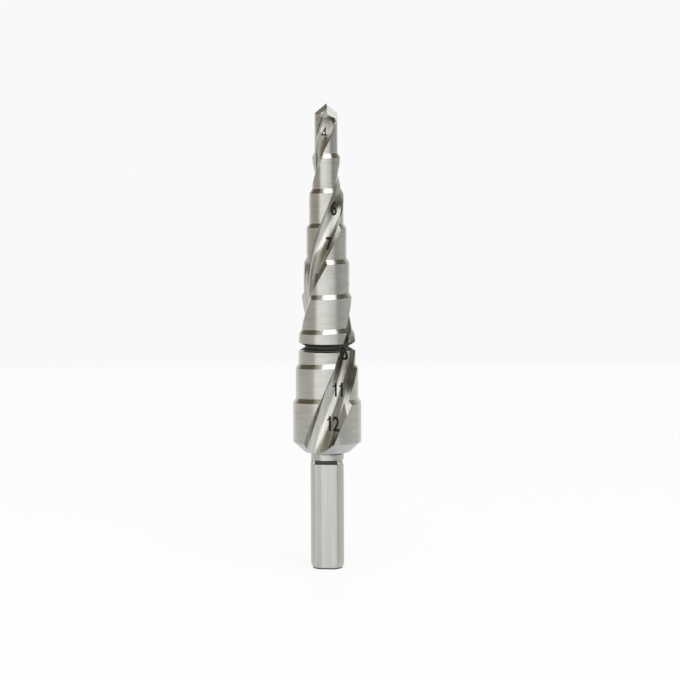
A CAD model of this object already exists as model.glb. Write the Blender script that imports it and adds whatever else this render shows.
"""A step drill for holes of 4 to 12 mm, standing on the end of its shank on a white table."""

import math

import bpy
from mathutils import Matrix, Vector


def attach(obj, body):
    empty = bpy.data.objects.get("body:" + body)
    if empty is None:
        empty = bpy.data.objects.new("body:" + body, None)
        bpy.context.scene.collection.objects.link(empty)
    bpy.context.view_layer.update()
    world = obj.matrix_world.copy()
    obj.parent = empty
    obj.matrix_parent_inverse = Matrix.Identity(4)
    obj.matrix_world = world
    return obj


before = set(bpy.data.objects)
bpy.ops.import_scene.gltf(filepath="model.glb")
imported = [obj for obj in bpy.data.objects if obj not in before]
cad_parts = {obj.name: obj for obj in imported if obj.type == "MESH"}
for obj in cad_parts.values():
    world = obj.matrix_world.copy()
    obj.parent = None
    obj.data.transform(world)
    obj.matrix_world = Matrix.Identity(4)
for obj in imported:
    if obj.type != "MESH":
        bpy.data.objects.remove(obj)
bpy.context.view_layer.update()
bpy.ops.object.select_all(action="DESELECT")

# Camera. A long lens, a little above the point of the drill and tilted down at it.
image_width = 680
sensor_width = 36.0
focal_length_in_pixels = 3020.0
camera_place = (0.0023, -0.528, 0.0931)
camera_tilt = math.radians(5.7)
camera_roll = math.radians(-0.22)
camera_nearest = 0.01

camera_data = bpy.data.cameras.new("camera")
camera_data.sensor_width = sensor_width
camera_data.lens = focal_length_in_pixels / image_width * sensor_width
camera_data.clip_start = camera_nearest
camera = bpy.data.objects.new("camera", camera_data)
bpy.context.scene.collection.objects.link(camera)
camera.matrix_world = (
    Matrix.Translation(camera_place)
    @ Matrix.Rotation(math.pi / 2 - camera_tilt, 4, "X")
    @ Matrix.Rotation(camera_roll, 4, "Z")
)
bpy.context.scene.camera = camera
bpy.context.scene.view_settings.view_transform = "Standard"

# Room. White wall behind the drill and low in front of it, a dim wall with a pale strip at the
# left, a black card and a window at the right, and a grey ceiling with a pale panel. Only the
# steel mirrors them: the camera sees plain white wall, and matt surfaces see mostly that.
wall_white = 0.945
front_fill = 0.85
left_fill = 0.30
left_height = 0.20
left_floor = 0.18
left_floor_whitened = 0.35
left_strip = 0.8
card_black = 0.09
right_window = 0.75
right_floor = 0.30
ceiling_grey = 0.17
panel_grey = 0.75
behind_dimmed = 0.6
matt_share = 0.75
left_tint = (1.0, 0.86, 0.62, 1.0)
right_tint = (1.0, 0.985, 0.80, 1.0)
white_tint = (1.0, 1.0, 0.985, 1.0)
plain_white = (1.0, 1.0, 1.0, 1.0)
tinted_greys = (0.4, 0.9)

# Where one part of the room fades into the next, by how far up a direction points, out of 1
left_floor_top = (-0.03, 0.08)
left_fill_top = (0.14, 0.35)
strip_bottom = (-0.22, -0.16)
strip_top = (0.05, 0.14)
front_top = (0.02, 0.10)
window_bottom = (0.08, 0.14)
window_top = (0.40, 0.46)
ceiling_edge = (0.55, 0.62)
behind_top = (0.3, 0.6)

# The same by how far it points away from the camera
front_edge = (-0.68, -0.72)
left_floor_back = (0.05, 0.35)
window_edge = (-0.02, 0.06)
card_edge = (-0.42, -0.30)
panel_edge = (-0.25, -0.2)
behind_edge = (0.6, 0.85)

# The same by how far it points to the right
right_edge = (0.2, 0.5)
panel_left = (-0.58, -0.54)
panel_right = (-0.1, 0.0)
left_to_right = (-0.3, 0.3)


class Tree:
    """The nodes of one material or of the world. Its one method adds a node of any type."""

    def __init__(self, owner):
        owner.use_nodes = True
        self.nodes = owner.node_tree.nodes
        self.links = owner.node_tree.links
        self.nodes.clear()

    def node(self, kind, settings=None, inputs=None, output=0):
        """Adds a node, with its settings first and then its sockets' values or links."""
        made = self.nodes.new("ShaderNode" + kind)
        for name, value in (settings or {}).items():
            if name == "stops":
                for index, (place, grey) in enumerate(value):
                    stops = made.color_ramp.elements
                    stop = stops[index] if index < len(stops) else stops.new(place)
                    stop.position = place
                    stop.color = (grey, grey, grey, 1.0)
            else:
                setattr(made, name, value)
        for name, value in (inputs or {}).items():
            socket = made.inputs[name]
            if isinstance(value, Number):
                self.links.new(value.socket, socket)
            else:
                socket.default_value = value
        return Number(self, made.outputs[output] if made.outputs else None)


class Number:
    """What comes out of a node. Arithmetic on it adds Math nodes."""

    def __init__(self, tree, socket):
        self.tree = tree
        self.socket = socket

    def math(self, operation, *others):
        """Adds one Math node that starts from this value."""
        return self.tree.node("Math", {"operation": operation}, dict(enumerate((self, *others))))

    def __add__(self, other):
        return self.math("ADD", other)

    def __radd__(self, other):
        return self.math("ADD", other)

    def __sub__(self, other):
        return self.math("SUBTRACT", other)

    def __rsub__(self, other):
        return (self * -1.0).math("ADD", other)

    def __mul__(self, other):
        return self.math("MULTIPLY", other)

    def __rmul__(self, other):
        return self.math("MULTIPLY", other)

    def __truediv__(self, other):
        return self.math("DIVIDE", other)

    def __rtruediv__(self, other):
        return self.math("POWER", -1.0) * other

    def over(self, low, high):
        """Goes from 0 at low to 1 at high, and stays there."""
        return ((self - low) / (high - low)).math("MINIMUM", 1.0).math("MAXIMUM", 0.0)

    def between(self, first, second):
        """The first number where this is 0, the second where it is 1."""
        return first + (second - first) * self

    def mix(self, first, second):
        """The first colour where this is 0, the second where it is 1."""
        colours = {0: self, 6: first, 7: second}
        return self.tree.node("Mix", {"data_type": "RGBA"}, colours, output=2)


world = bpy.data.worlds.new("room")
bpy.context.scene.world = world
room = Tree(world)
direction = room.node("TexCoord", output="Generated")
sideways = room.node("SeparateXYZ", inputs={0: direction}, output="X")
backwards = room.node("SeparateXYZ", inputs={0: direction}, output="Y")
upwards = room.node("SeparateXYZ", inputs={0: direction}, output="Z")
in_front = backwards.over(*front_edge)

left_wall = (1.0 - upwards.over(*left_fill_top)).between(left_height, left_fill)
left_low = backwards.over(*left_floor_back) * left_floor_whitened
left_low = left_low.between(left_floor, wall_white)
left_wall = (1.0 - upwards.over(*left_floor_top)).between(left_wall, left_low)
strip = upwards.over(*strip_bottom) * (1.0 - upwards.over(*strip_top))
left_wall = strip.between(left_wall, left_strip)
front_wall = (1.0 - upwards.over(*front_top)).between(card_black, front_fill)
seen = in_front.between(left_wall, front_wall)

window = upwards.over(*window_bottom) * (1.0 - upwards.over(*window_top))
window = window * backwards.over(*window_edge)
right_wall = window.between(right_floor, right_window)
right_wall = backwards.over(*card_edge).between(card_black, right_wall)
seen = seen + (right_wall - seen) * sideways.over(*right_edge) * (1.0 - in_front)

panel = sideways.over(*panel_left) * (1.0 - sideways.over(*panel_right))
panel = panel * (1.0 - backwards.over(*panel_edge))
ceiling = panel.between(ceiling_grey, panel_grey)
seen = upwards.over(*ceiling_edge).between(seen, ceiling)
behind = backwards.over(*behind_edge) * (1.0 - upwards.over(*behind_top) * behind_dimmed)
seen = behind.between(seen, wall_white)

tint = sideways.over(*left_to_right).mix(left_tint, right_tint)
tint = seen.over(*tinted_greys).mix(tint, white_tint)
camera_ray = room.node("LightPath", output="Is Camera Ray")
matt_ray = room.node("LightPath", output="Is Diffuse Ray")
tint = camera_ray.math("MAXIMUM", matt_ray).mix(tint, plain_white)
seen = camera_ray.math("MAXIMUM", matt_ray * matt_share).between(seen, wall_white)
sky = room.node("Background", inputs={"Color": tint, "Strength": seen})
room.node("OutputWorld", inputs={"Surface": sky})

# Table. A sheet of white lacquered board whose far edge is a third of a metre behind the drill.
# What the camera and the steel see of it is mostly an even glow of its own, nearly white.
table_left = -0.14
table_right = 0.35
table_front = -1.27
table_back = 0.33
table_white = (0.93, 0.93, 0.925, 1.0)
table_roughness = 0.42
table_ior = 1.25
table_glow = 0.8
table_mirrored_glow = 0.65

bpy.ops.mesh.primitive_plane_add(size=1.0)
table = bpy.context.object
table.name = "table"
table.scale = (table_right - table_left, table_back - table_front, 1.0)
table.location = ((table_right + table_left) / 2, (table_back + table_front) / 2, 0)
bpy.ops.object.transform_apply(location=True, scale=True)
lacquer = bpy.data.materials.new("white_lacquer")
tree = Tree(lacquer)
board = tree.node(
    "BsdfPrincipled",
    inputs={"Base Color": table_white, "Roughness": table_roughness, "IOR": table_ior},
)
glow = tree.node("Emission", inputs={"Color": plain_white, "Strength": 1.0})
camera_ray = tree.node("LightPath", output="Is Camera Ray")
glossy_ray = tree.node("LightPath", output="Is Glossy Ray")
glow_share = camera_ray * table_glow + glossy_ray * table_mirrored_glow
surface = tree.node("MixShader", inputs={0: glow_share, 1: board, 2: glow})
tree.node("OutputMaterial", inputs={"Surface": surface})
table.data.materials.append(lacquer)
bpy.ops.object.select_all(action="DESELECT")

# Lamps. A long soft box hung aslant in front of the drill and a smaller one over it: the first
# gives the lands their bright middle, the second the white spot on each shoulder.
front_box = {"size": (2.35, 0.62), "place": (-0.13, -1.1, 0.38), "roll": 22.0, "radiance": 1.5}
top_box = {"size": (0.62, 0.34), "place": (0.1, -0.35, 0.74), "roll": 0.0, "radiance": 2.4}
lit_place = (0, 0, 0.045)

for name, box in (("front_box", front_box), ("top_box", top_box)):
    lamp_data = bpy.data.lights.new(name, "AREA")
    lamp_data.shape = "RECTANGLE"
    lamp_data.size, lamp_data.size_y = box["size"]
    lamp_data.energy = box["radiance"] * math.pi * lamp_data.size * lamp_data.size_y
    lamp = bpy.data.objects.new(name, lamp_data)
    bpy.context.scene.collection.objects.link(lamp)
    towards_drill = Vector(lit_place) - Vector(box["place"])
    lamp.matrix_world = (
        Matrix.Translation(box["place"])
        @ towards_drill.to_track_quat("-Z", "Y").to_matrix().to_4x4()
        @ Matrix.Rotation(math.radians(box["roll"]), 4, "Z")
    )

# Drill. High speed steel, ground all over after hardening: the lands round and round, the
# flutes along their helix, the flats of the shank lengthwise. The groove round the 10 mm step
# and those above the flats stay black from the furnace. Lengths here are in mm.
mm_per_metre = 1000.0
first_corner = 29.6
step_length = 6.12
largest_radius = 6.0
radius_rise = 0.5
step_count = 9
back_cone_bottom = 20.73
back_cone_top = 22.54
back_cone_radius = 4.0
back_cone_slope = (largest_radius - back_cone_radius) / (back_cone_top - back_cone_bottom)
groove_bottom = 38.59
groove_top = 40.07
flat_top = 18.58
flat_groove_top = 19.34
flat_turn = math.radians(-96.8)
point_facet_bottom = 78.6
point_facet_turn = math.radians(-25.0)
helix_angle = math.radians(24.9)
taper = radius_rise / step_length
turn_per_taper = math.tan(helix_angle) / taper
smallest_cone_radius = 0.8
flute_turn = math.radians(-73.5)
flute_half_width = 3.3
flute_narrowing = 1.9 / 59.3

ground_colour = (0.56, 0.56, 0.54, 1.0)
stain_colour = (0.42, 0.41, 0.36, 1.0)
cone_colour = (0.53, 0.545, 0.535, 1.0)
flute_colour = (0.555, 0.56, 0.535, 1.0)
flute_dark = (0.41, 0.405, 0.37, 1.0)
facet_colour = (0.33, 0.33, 0.32, 1.0)
flat_light = (0.57, 0.58, 0.57, 1.0)
flat_dark = (0.38, 0.385, 0.36, 1.0)
furnace_black = (0.035, 0.032, 0.027, 1.0)
furnace_smear = (0.11, 0.105, 0.085, 1.0)
ground_roughness = 0.32
ground_line_roughness = 0.08
flute_roughness = 0.14
streak_roughness = 0.14
flat_roughness = 0.1
furnace_roughness = 0.3

steel = bpy.data.materials.new("ground_steel")
tree = Tree(steel)
place = tree.node("TexCoord", output="Object")
place = tree.node("VectorMath", {"operation": "SCALE"}, {0: place, "Scale": mm_per_metre})
across = tree.node("SeparateXYZ", inputs={0: place}, output="X")
depth = tree.node("SeparateXYZ", inputs={0: place}, output="Y")
height = tree.node("SeparateXYZ", inputs={0: place}, output="Z")
normal = tree.node("NewGeometry", output="Normal")
facing_up = tree.node("SeparateXYZ", inputs={0: normal}, output="Z")
radius = (across * across + depth * depth).math("SQRT")


def noise(place, spots, detail, roughness):
    """Noise with this many spots to the mm along each axis."""
    spread = place.tree.node("VectorMath", {"operation": "MULTIPLY"}, {0: place, 1: spots})
    look = {"Vector": spread, "Scale": 1.0, "Detail": detail, "Roughness": roughness}
    return place.tree.node("TexNoise", inputs=look)


# Where one kind of surface gives way to the next: how far below its own radius a land or the
# cone may lie, how far up a land may face, and heights and distances from the axis
land_edge = (-0.06, -0.03)
land_slope = (0.2, 0.35)
cone_edge = (-0.08, -0.04)
neck_top = (20.3, 20.31)
neck_edge = (2.8, 2.85)
shank_edge = (2.955, 2.975)
groove_edge = (4.5, 4.65)
cut_rim_top = (0.20, 0.28)
soft_edge = 0.05
sharp_edge = 0.02

# Which step a place is on, and whether it is on that step's land
step = ((height - first_corner) / step_length).math("CEIL").math("MAXIMUM", 0.0)
step = step.math("MINIMUM", step_count - 1.0)
step_radius = largest_radius - radius_rise * step
on_step = height.over(back_cone_top - soft_edge, back_cone_top)
on_land = (radius - step_radius).over(*land_edge) * (1.0 - facing_up.over(*land_slope)) * on_step

# The back cone, the neck and the round part of the shank are ground round as well
above_neck = height.over(*neck_top)
above_flats = height.over(flat_top, flat_top + sharp_edge)
cone = back_cone_radius + back_cone_slope * (height - back_cone_bottom)
on_cone = (radius - cone).over(*cone_edge) * above_neck * (1.0 - on_step)
on_neck = above_flats * (1.0 - above_neck) * radius.over(*neck_edge)
on_shank = (1.0 - above_flats) * radius.over(*shank_edge)
ground_round = (on_land + on_cone + on_neck + on_shank).math("MINIMUM", 1.0)
on_flat = (1.0 - above_flats) * (1.0 - radius.over(*shank_edge))

# Both kinds of groove are black, and so is the rim where the shank was cut off the bar
in_groove = height.over(groove_bottom, groove_bottom + soft_edge)
in_groove = in_groove * (1.0 - radius.over(*groove_edge))
in_groove = in_groove * (1.0 - height.over(groove_top - soft_edge, groove_top))
in_flat_groove = above_flats * (1.0 - radius.over(*neck_edge))
below_groove_top = 1.0 - height.over(flat_groove_top, flat_groove_top + sharp_edge)
in_flat_groove = in_flat_groove * below_groove_top
cut_rim = 1.0 - height.over(*cut_rim_top)
black = (in_groove + in_flat_groove + cut_rim).math("MINIMUM", 1.0)

# Grinding lines run round the lands: fine ones, stains drawn out along them, a few deep ones
fine_range = (0.48, 0.75)
fine_strength = 0.6
stain_range = (0.45, 0.8)
stain_strength = 0.5
deep_range = (0.67, 0.71)
deep_strength = 0.7
stain_off_land = 0.25

fine_lines = noise(place, spots=(0.35, 0.35, 7.0), detail=3.0, roughness=0.6)
stain = noise(place, spots=(0.25, 0.25, 0.9), detail=4.0, roughness=0.55)
deep_lines = noise(place, spots=(0.12, 0.12, 2.6), detail=2.0, roughness=0.5)
stain = stain.over(*stain_range) * stain_strength + fine_lines.over(*fine_range) * fine_strength
stain = stain + deep_lines.over(*deep_range) * deep_strength
stain = stain * on_land.between(stain_off_land, 1.0)

# Flute lines follow the helix: the place is turned back by the flute's own turn
streak_range = (0.36, 0.68)
cone_radius = largest_radius - taper * (height - first_corner)
cone_radius = cone_radius.math("MAXIMUM", smallest_cone_radius)
helix = flute_turn - turn_per_taper * (cone_radius / largest_radius).math("LOGARITHM", math.e)
unwound = tree.node(
    "VectorRotate", {"rotation_type": "Z_AXIS"}, {"Vector": place, "Angle": helix * -1.0}
)
streaks = noise(unwound, spots=(3.0, 3.0, 0.07), detail=3.0, roughness=0.65)
streak = streaks.over(*streak_range)

# Place across a flute: -1 at the cutting edge, 0 in the middle, 1 at the heel
out = tree.node("SeparateXYZ", inputs={0: unwound}, output="X")
aside = tree.node("SeparateXYZ", inputs={0: unwound}, output="Y")
half_width = flute_half_width - (height - back_cone_top) * flute_narrowing
share = aside * out.math("SIGN") / half_width

# Dark smears of the furnace in the flutes: from below the groove to just above it, by the heel
# of the largest step, darkest on its flat facet, and near the point
groove_smear_bottom = (32.5, 36.0)
groove_smear_top = (40.6, 42.2)
groove_smear_streaked = 0.35
heel_smear_height = 28.4
heel_smear_start = 0.30
heel_smear_start_slope = 0.105
heel_smear_start_fade = (0.0, 0.15)
heel_smear_end = 0.73
heel_smear_end_slope = 0.16
heel_smear_end_fade = (0.0, 0.05)
heel_smear_top = (29.6, 30.6)
heel_facet_edge = (0.44, 0.52)
heel_smear_strength = 0.2
heel_facet_strength = 0.72
point_smear_bottom = (76.0, 78.0)
point_smear_top = (79.4, 79.6)
point_smear_strength = 0.6
smeared_slope = (0.42, 0.48)

groove_smear = height.over(*groove_smear_bottom) * (1.0 - height.over(*groove_smear_top))
groove_smear = groove_smear * (1.0 - streak * groove_smear_streaked)
below = heel_smear_height - height
heel_start = heel_smear_start - below * heel_smear_start_slope
heel_end = heel_smear_end + below * heel_smear_end_slope
heel_smear = (share - heel_start).over(*heel_smear_start_fade)
heel_smear = heel_smear * (1.0 - (share - heel_end).over(*heel_smear_end_fade))
heel_smear = heel_smear * (1.0 - height.over(*heel_smear_top))
heel_facet = share.over(*heel_facet_edge)
heel_smear = heel_smear * (heel_smear_strength + heel_facet * heel_facet_strength)
point_smear = height.over(*point_smear_bottom) * (1.0 - height.over(*point_smear_top))
point_smear = point_smear * point_smear_strength
smear = (groove_smear + heel_smear + point_smear).math("MINIMUM", 1.0)
smear = smear * (1.0 - facing_up.over(*smeared_slope))

# The flats are a little hollow, which shows as upright bands; each third of a turn is alike
flat_range = (-2.0, 2.0)
band_strength = 0.75
upright_range = (0.3, 0.7)
upright_strength = 0.35
band_greys = (
    (0.0, 0.35),
    (0.12, 0.75),
    (0.28, 0.85),
    (0.33, 0.05),
    (0.48, 0.1),
    (0.60, 0.3),
    (0.85, 0.15),
    (1.0, 0.5),
)
third = 2 * math.pi / 3
turned = depth.math("ARCTAN2", across) - (flat_turn - third / 2 - 2 * math.pi)
turned = turned - third * (turned / third).math("FLOOR") - third / 2
flat_place = (radius * turned.math("SINE")).over(*flat_range)
band = tree.node("ValToRGB", {"stops": band_greys}, {0: flat_place})
upright_lines = noise(place, spots=(3.0, 3.0, 0.12), detail=3.0, roughness=0.6)
band = band * band_strength + upright_lines.over(*upright_range) * upright_strength
band = band.math("MINIMUM", 1.0)

# Behind each lip the point is ground a second time. The material alone turns the normal of
# that facet further round: its shape stays as it is
point_facet_edge = 0.1
facet_slope_low = (0.40, 0.44)
facet_slope_high = (0.58, 0.62)
on_facet = height.over(point_facet_bottom, point_facet_bottom + point_facet_edge)
on_facet = on_facet * facing_up.over(*facet_slope_low) * (1.0 - facing_up.over(*facet_slope_high))

ground_mix = stain.math("MINIMUM", 1.0).mix(ground_colour, stain_colour)
ground_mix = on_cone.mix(ground_mix, cone_colour)
flute_mix = (1.0 - streak).mix(flute_colour, flute_dark)
flat_mix = band.mix(flat_light, flat_dark)
flute_mix = smear.mix(flute_mix, furnace_smear)
flute_mix = on_facet.mix(flute_mix, facet_colour)
flute_mix = on_flat.mix(flute_mix, flat_mix)
flute_mix = black.mix(flute_mix, furnace_black)
ground_bump = tree.node(
    "Bump", inputs={"Height": fine_lines, "Strength": 0.25, "Distance": 0.00002}
)
turned_normal = tree.node(
    "VectorRotate",
    {"rotation_type": "Z_AXIS"},
    {"Vector": normal, "Angle": on_facet * point_facet_turn},
)
flute_bump = tree.node(
    "Bump",
    inputs={
        "Height": streaks * (1.0 - on_flat),
        "Strength": 0.5,
        "Distance": 0.00004,
        "Normal": turned_normal,
    },
)
polished_roughness = flute_roughness + streaks * streak_roughness
polished_roughness = polished_roughness + on_flat * flat_roughness + black * furnace_roughness
ground = tree.node(
    "BsdfPrincipled",
    inputs={
        "Base Color": ground_mix,
        "Metallic": 1.0,
        "Roughness": ground_roughness + fine_lines * ground_line_roughness,
        "Anisotropic": 0.85,
        "Anisotropic Rotation": 0.25,
        "Normal": ground_bump,
    },
)
polished = tree.node(
    "BsdfPrincipled",
    inputs={
        "Base Color": flute_mix,
        "Metallic": 1.0 - black,
        "Roughness": polished_roughness,
        "Normal": flute_bump,
    },
)
surface = tree.node("MixShader", inputs={0: ground_round, 1: polished, 2: ground})
tree.node("OutputMaterial", inputs={"Surface": surface})
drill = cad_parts["step_drill"]
drill.material_slots[0].material = steel

# Size marks. Each step's diameter is burnt by laser into the floor of the flute beside it, in
# narrow upright figures of dark oxide, a few hundredths of a millimetre proud. For each one: its
# height and sideways place in mm, the degrees it faces, its boldness and its figures' height.
size_marks = {
    12: (26.0, 1.02, 0.0, 0.10, 2.5),
    11: (31.85, 2.05, 0.0, 0.10, 2.4),
    10: (38.1, -0.55, 60.0, 0.07, 2.3),
    9: (44.9, 0.3, 92.0, 0.07, 2.2),
    8: (51.15, 1.0, -60.0, 0.03, 2.1),
    7: (57.45, 0.4, 0.0, 0.10, 2.2),
    6: (63.5, 1.30, 0.0, 0.06, 2.5),
    5: (70.1, 0.2, 75.0, 0.05, 2.2),
    4: (76.55, 0.10, -20.0, -0.01, 2.45),
}
figure_width = 0.70
figure_pitch = 0.44
figure_depth = 0.15
figure_grain = 0.045
flag_length = 0.72
flag_width = 0.24
flag_place = (-0.20, 0.36)
flag_slope = math.radians(42.0)
capital_share = 0.73
upper_face = 0.7

# Where a mark starts, how far it is laid off the steel and how thick it is, in metres
mark_start = -0.008
mark_lift = 0.00001
mark_thickness = 0.00002

speckle_scale = 9000.0
speckle_range = (0.35, 0.7)
oxide_dark = (0.005, 0.004, 0.003, 1.0)
oxide_light = (0.022, 0.018, 0.014, 1.0)
oxide_roughness = 0.7
oxide_specular = 0.2

oxide = bpy.data.materials.new("laser_oxide")
tree = Tree(oxide)
place = tree.node("TexCoord", output="Object")
speckle = tree.node("TexNoise", inputs={"Vector": place, "Scale": speckle_scale, "Detail": 2.0})
surface = tree.node(
    "BsdfPrincipled",
    inputs={
        "Base Color": speckle.over(*speckle_range).mix(oxide_dark, oxide_light),
        "Roughness": oxide_roughness,
        "Specular IOR Level": oxide_specular,
    },
)
tree.node("OutputMaterial", inputs={"Surface": surface})

for size, (mark_height, sideways_place, facing, boldness, figure_height) in size_marks.items():
    figures = []
    for index, figure in enumerate(str(size)):
        middle = (index - (len(str(size)) - 1) / 2) * figure_pitch * figure_height
        bpy.ops.object.text_add(location=(middle, 0, 0))
        digit = bpy.context.object
        digit.data.body = figure
        digit.data.align_x = "CENTER"
        digit.data.align_y = "CENTER"
        digit.data.size = figure_height / capital_share
        digit.data.offset = boldness
        digit.data.extrude = figure_depth
        bpy.ops.object.convert(target="MESH")
        digit.scale = (figure_width, 1.0, 1.0)
        figures.append(digit)
        if figure == "1":
            bpy.ops.mesh.primitive_cube_add(
                size=1.0,
                location=(middle + flag_place[0], flag_place[1] * figure_height, 0),
                rotation=(0, 0, flag_slope),
                scale=(flag_length, flag_width, 2 * figure_depth),
            )
            figures.append(bpy.context.object)
    bpy.ops.object.select_all(action="DESELECT")
    for digit in figures:
        digit.select_set(True)
    bpy.ops.object.transform_apply(location=True, rotation=True, scale=True)
    bpy.context.view_layer.objects.active = figures[0]
    bpy.ops.object.join()
    mark = bpy.context.object
    mark.name = f"size_mark_{size}"
    grain = mark.modifiers.new("grain", "REMESH")
    grain.mode = "VOXEL"
    grain.voxel_size = figure_grain
    bpy.ops.object.modifier_apply(modifier="grain")
    mark.scale = (1 / mm_per_metre, 1 / mm_per_metre, 1 / mm_per_metre)
    bpy.ops.object.transform_apply(scale=True)
    for face in mark.data.polygons:
        face.select = face.normal.z < upper_face
    bpy.ops.object.mode_set(mode="EDIT")
    bpy.ops.mesh.select_mode(type="FACE")
    bpy.ops.mesh.delete(type="FACE")
    bpy.ops.object.mode_set(mode="OBJECT")
    start = (sideways_place / mm_per_metre, mark_start, mark_height / mm_per_metre)
    mark.matrix_world = (
        Matrix.Rotation(math.radians(facing), 4, "Z")
        @ Matrix.Translation(start)
        @ Matrix.Rotation(math.pi / 2, 4, "X")
    )
    lay = mark.modifiers.new("lay", "SHRINKWRAP")
    lay.wrap_method = "PROJECT"
    lay.use_project_z = True
    lay.use_negative_direction = True
    lay.use_positive_direction = False
    lay.target = drill
    lay.offset = mark_lift
    bpy.ops.object.modifier_apply(modifier="lay")
    body = mark.modifiers.new("body", "SOLIDIFY")
    body.thickness = mark_thickness
    body.offset = 1.0
    bpy.ops.object.modifier_apply(modifier="body")
    bpy.ops.object.transform_apply(location=True, rotation=True)
    mark.data.materials.clear()
    mark.data.materials.append(oxide)
    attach(mark, "root")
    bpy.ops.object.select_all(action="DESELECT")
